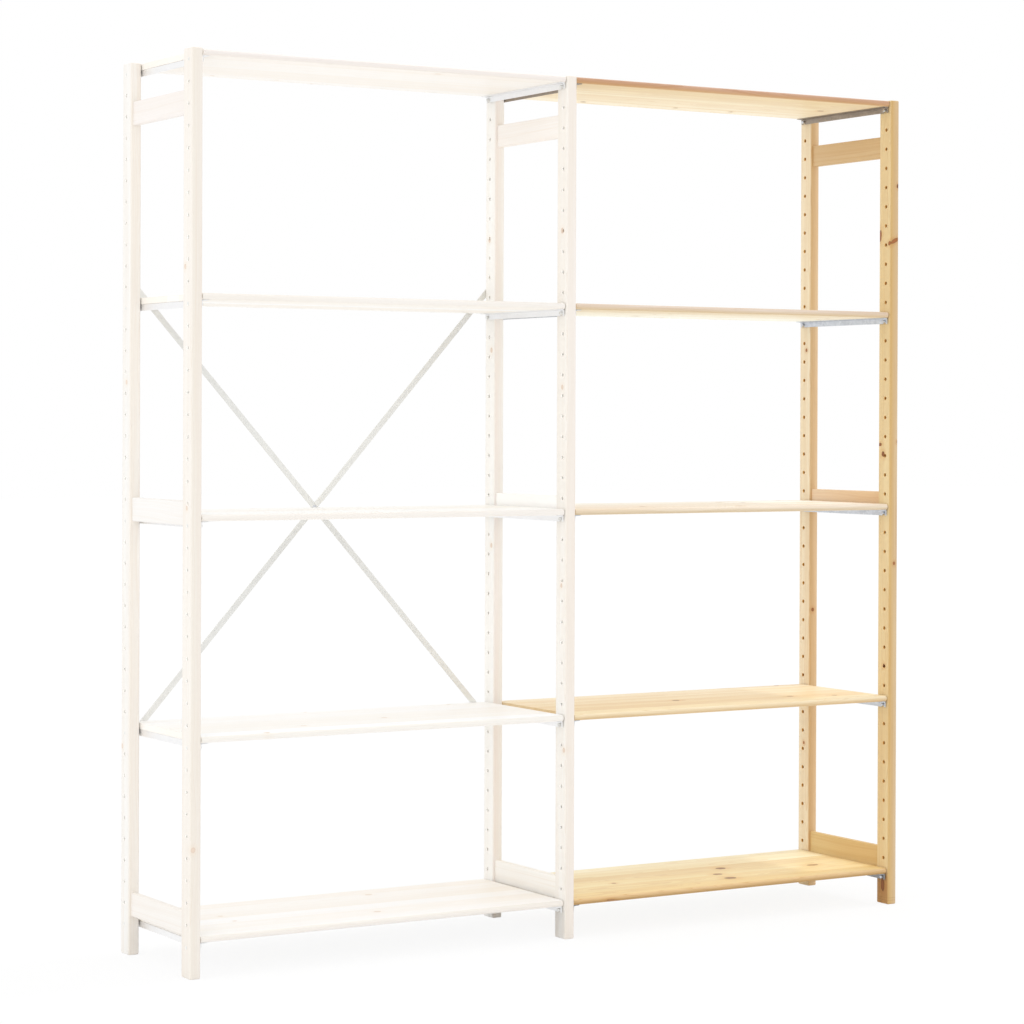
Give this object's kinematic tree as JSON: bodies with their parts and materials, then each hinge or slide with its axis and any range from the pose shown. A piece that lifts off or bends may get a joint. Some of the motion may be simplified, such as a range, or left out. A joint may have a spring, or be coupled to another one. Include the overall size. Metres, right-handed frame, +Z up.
{
  "type": "shelving unit",
  "caption": "Open pine shelving unit: ladder end frames with peg holes, shelves hooked over steel pins, and a crossed steel brace on the back.",
  "frame": {"origin": "on the floor, at the middle of the unit's bounding box in X and Y", "axes": "+Z up, +X along the unit from its left bay to its right bay seen from the front, front towards -Y"},
  "size_m": [1.723, 0.3384, 1.79],
  "materials": {
    "pale_pine": "pine under a thin pale glaze, matt",
    "natural_pine": "bare honey-coloured pine, matt",
    "galvanised_steel": "galvanised, dull grey"
  },
  "bodies": {
    "frames": {"left_front_post": "pale_pine", "left_rear_post": "pale_pine", "left_top_rail": "pale_pine", "left_middle_rail": "pale_pine", "left_bottom_rail": "pale_pine", "middle_front_post": "pale_pine", "middle_rear_post": "pale_pine", "middle_top_rail": "pale_pine", "middle_middle_rail": "pale_pine", "middle_bottom_rail": "pale_pine", "right_front_post": "natural_pine", "right_rear_post": "natural_pine", "right_top_rail": "natural_pine", "right_middle_rail": "natural_pine", "right_bottom_rail": "natural_pine", "left_frame_pins": "galvanised_steel", "middle_frame_pins": "galvanised_steel", "right_frame_pins": "galvanised_steel", "brace_bar_inner": "galvanised_steel", "brace_bar_outer": "galvanised_steel", "brace_screws": "galvanised_steel", "brace_rivet": "galvanised_steel"},
    "left_top": {"left_top_shelf": "pale_pine", "left_top_strips": "galvanised_steel"},
    "left_upper": {"left_upper_shelf": "pale_pine", "left_upper_strips": "galvanised_steel"},
    "left_middle": {"left_middle_shelf": "pale_pine", "left_middle_strips": "galvanised_steel"},
    "left_lower": {"left_lower_shelf": "pale_pine", "left_lower_strips": "galvanised_steel"},
    "left_bottom": {"left_bottom_shelf": "pale_pine", "left_bottom_strips": "galvanised_steel"},
    "right_top": {"right_top_shelf": "natural_pine", "right_top_strips": "galvanised_steel"},
    "right_upper": {"right_upper_shelf": "natural_pine", "right_upper_strips": "galvanised_steel"},
    "right_middle": {"right_middle_shelf": "natural_pine", "right_middle_strips": "galvanised_steel"},
    "right_lower": {"right_lower_shelf": "natural_pine", "right_lower_strips": "galvanised_steel"},
    "right_bottom": {"right_bottom_shelf": "natural_pine", "right_bottom_strips": "galvanised_steel"}
  },
  "joints": [
    {"name": "left_top_lift", "type": "slide", "parent": "frames", "child": "left_top", "axis": [0, 0, 1], "range_m": [0, 0.06]},
    {"name": "left_upper_lift", "type": "slide", "parent": "frames", "child": "left_upper", "axis": [0, 0, 1], "range_m": [0, 0.4427]},
    {"name": "left_middle_lift", "type": "slide", "parent": "frames", "child": "left_middle", "axis": [0, 0, 1], "range_m": [0, 0.4]},
    {"name": "left_lower_lift", "type": "slide", "parent": "frames", "child": "left_lower", "axis": [0, 0, 1], "range_m": [0, 0.4]},
    {"name": "left_bottom_lift", "type": "slide", "parent": "frames", "child": "left_bottom", "axis": [0, 0, 1], "range_m": [0, 0.3573]},
    {"name": "right_top_lift", "type": "slide", "parent": "frames", "child": "right_top", "axis": [0, 0, 1], "range_m": [0, 0.06]},
    {"name": "right_upper_lift", "type": "slide", "parent": "frames", "child": "right_upper", "axis": [0, 0, 1], "range_m": [0, 0.4427]},
    {"name": "right_middle_lift", "type": "slide", "parent": "frames", "child": "right_middle", "axis": [0, 0, 1], "range_m": [0, 0.4]},
    {"name": "right_lower_lift", "type": "slide", "parent": "frames", "child": "right_lower", "axis": [0, 0, 1], "range_m": [0, 0.4]},
    {"name": "right_bottom_lift", "type": "slide", "parent": "frames", "child": "right_bottom", "axis": [0, 0, 1], "range_m": [0, 0.3573]}
  ]
}
